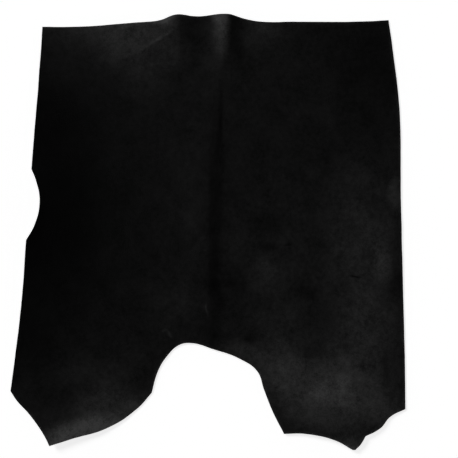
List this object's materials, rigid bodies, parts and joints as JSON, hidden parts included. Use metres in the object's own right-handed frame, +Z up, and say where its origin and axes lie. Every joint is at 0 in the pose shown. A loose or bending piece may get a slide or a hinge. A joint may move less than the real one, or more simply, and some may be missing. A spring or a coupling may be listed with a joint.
{
  "type": "leather hide",
  "caption": "Back half of a tanned cattle hide in black leather, lying grain side up: cut straight across the shoulders, with two hind shanks and a tail cut between them.",
  "frame": {"origin": "on the surface the hide lies on, under the middle of its box", "axes": "+Y along the backbone to the cut across the shoulders, +X to the right with the shoulders on top, +Z up out of the grain side"},
  "size_m": [1.2941, 1.4247, 0.0201],
  "materials": {
    "leather": "black dyed grain with a dull polish; plain dark flesh side"
  },
  "bodies": {
    "root": {"hide": "leather"}
  },
  "joints": []
}
